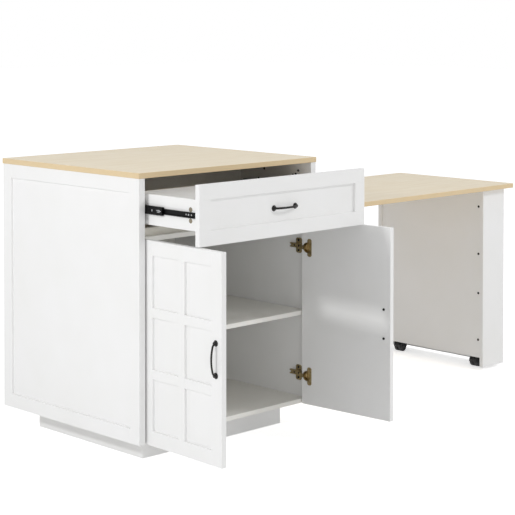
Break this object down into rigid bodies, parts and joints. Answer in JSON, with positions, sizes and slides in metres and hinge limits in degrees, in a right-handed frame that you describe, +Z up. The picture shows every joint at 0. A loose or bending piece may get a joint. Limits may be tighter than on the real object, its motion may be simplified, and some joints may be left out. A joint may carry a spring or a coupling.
{
  "type": "drop leaf kitchen island",
  "caption": "White kitchen island cabinet with a wooden worktop, a full-width drawer, panelled doors and a pull-out dining table on a castored leg.",
  "frame": {"origin": "on the floor at the centre of the cabinet's plinth, under the plinth's stretcher", "axes": "+X towards the free end of the pull-out table, -Y towards the doors and drawer front, +Z up"},
  "size_m": [2.0155, 1.0654, 0.92],
  "materials": {
    "white_paint": "fibreboard with satin white paint",
    "white_board": "white melamine-faced board",
    "pale_wood": "pale natural wood, clear satin lacquer",
    "raw_wood": "plain planed wood",
    "black_slide_steel": "black zinc-coated steel",
    "bright_steel": "bright zinc-plated steel",
    "dark_hinge_steel": "dark bronze nickel plate",
    "black_handle_metal": "satin black powder coat",
    "black_caster_plastic": "moulded black nylon",
    "caster_plate_steel": "black coated pressed steel"
  },
  "bodies": {
    "cabinet": {"worktop": "pale_wood", "left_side_board": "white_paint", "left_side_frame": "white_paint", "right_side_board": "white_paint", "right_side_frame": "white_paint", "bottom_panel": "white_board", "divider": "white_board", "middle_shelf": "white_board", "shelf_pins": "bright_steel", "back_panel": "white_board", "drawer_bay_back": "white_board", "plinth_front": "white_paint", "plinth_rear": "white_paint", "plinth_sides": "white_paint", "plinth_stretcher": "white_paint", "table_guide_rails": "raw_wood", "table_guide_lips": "raw_wood", "left_slide_cabinet_member": "black_slide_steel", "right_slide_cabinet_member": "black_slide_steel", "hinge_mounting_plates": "dark_hinge_steel", "left_hinge_arms": "dark_hinge_steel", "right_hinge_arms": "dark_hinge_steel"},
    "slide_outer_cages": {"slide_outer_ball_cages": "bright_steel"},
    "slide_middles": {"left_slide_middle_member": "black_slide_steel", "right_slide_middle_member": "black_slide_steel"},
    "slide_inner_cages": {"slide_inner_ball_cages": "bright_steel"},
    "drawer": {"left_slide_drawer_member": "black_slide_steel", "right_slide_drawer_member": "black_slide_steel", "drawer_front_board": "white_paint", "drawer_front_frame": "white_paint", "drawer_left_side": "white_board", "drawer_right_side": "white_board", "drawer_back": "white_board", "drawer_bottom": "white_board", "drawer_handle": "black_handle_metal", "drawer_handle_screws": "bright_steel"},
    "left_door": {"left_door_board": "white_paint", "left_door_frame": "white_paint", "left_door_hinge_cups": "dark_hinge_steel", "left_door_handle": "black_handle_metal", "left_door_handle_screws": "bright_steel"},
    "right_door": {"right_door_board": "white_paint", "right_door_frame": "white_paint", "right_door_hinge_cups": "dark_hinge_steel", "right_door_handle": "black_handle_metal", "right_door_handle_screws": "bright_steel"},
    "table": {"table_top": "pale_wood", "leg_front_board": "white_paint", "leg_rear_board": "white_paint", "leg_inner_panel": "white_paint", "leg_outer_panel": "white_paint", "leg_bottom_board": "white_paint", "leg_top_cleats": "white_board", "table_stop_blocks": "raw_wood", "caster_mounting_plates": "caster_plate_steel"},
    "front_caster": {"front_caster_housing": "black_caster_plastic"},
    "front_wheels": {"front_caster_wheels": "black_caster_plastic"},
    "rear_caster": {"rear_caster_housing": "black_caster_plastic"},
    "rear_wheels": {"rear_caster_wheels": "black_caster_plastic"}
  },
  "joints": [
    {"name": "drawer_slide", "type": "slide", "parent": "cabinet", "child": "drawer", "axis": [0, -1, 0], "range_m": [-0.245, 0.045]},
    {"name": "middle_member_slide", "type": "slide", "parent": "cabinet", "child": "slide_middles", "axis": [0, -1, 0], "range_m": [-0.1226, 0.0226]},
    {"name": "outer_cage_travel", "type": "slide", "parent": "cabinet", "child": "slide_outer_cages", "axis": [0, -1, 0], "range_m": [-0.0613, 0.0113]},
    {"name": "inner_cage_travel", "type": "slide", "parent": "cabinet", "child": "slide_inner_cages", "axis": [0, -1, 0], "range_m": [-0.1839, 0.0339]},
    {"name": "left_door_hinge", "type": "hinge", "parent": "cabinet", "child": "left_door", "pos_m": [-0.3605, -0.3485, 0.3925], "axis": [0, 0, -1], "range_deg": [-92.3, 7.7]},
    {"name": "right_door_hinge", "type": "hinge", "parent": "cabinet", "child": "right_door", "pos_m": [0.3605, -0.3485, 0.3925], "axis": [0, 0, 1], "range_deg": [-94.6, 5.4]},
    {"name": "table_slide", "type": "slide", "parent": "cabinet", "child": "table", "axis": [1, 0, 0], "range_m": [-0.666, 0]},
    {"name": "front_caster_swivel", "type": "hinge", "parent": "table", "child": "front_caster", "pos_m": [1.514, -0.2055, 0.045], "axis": [0, 0, 1], "continuous": true},
    {"name": "front_wheel_spin", "type": "hinge", "parent": "front_caster", "child": "front_wheels", "pos_m": [1.502, -0.2055, 0.02], "axis": [0, 1, 0], "continuous": true},
    {"name": "rear_caster_swivel", "type": "hinge", "parent": "table", "child": "rear_caster", "pos_m": [1.514, 0.1865, 0.045], "axis": [0, 0, 1], "continuous": true},
    {"name": "rear_wheel_spin", "type": "hinge", "parent": "rear_caster", "child": "rear_wheels", "pos_m": [1.502, 0.1865, 0.02], "axis": [0, 1, 0], "continuous": true}
  ],
  "couplings": [
    {"joint": "middle_member_slide", "follows": "drawer_slide", "ratio": 0.5},
    {"joint": "outer_cage_travel", "follows": "drawer_slide", "ratio": 0.25},
    {"joint": "inner_cage_travel", "follows": "drawer_slide", "ratio": 0.75}
  ]
}
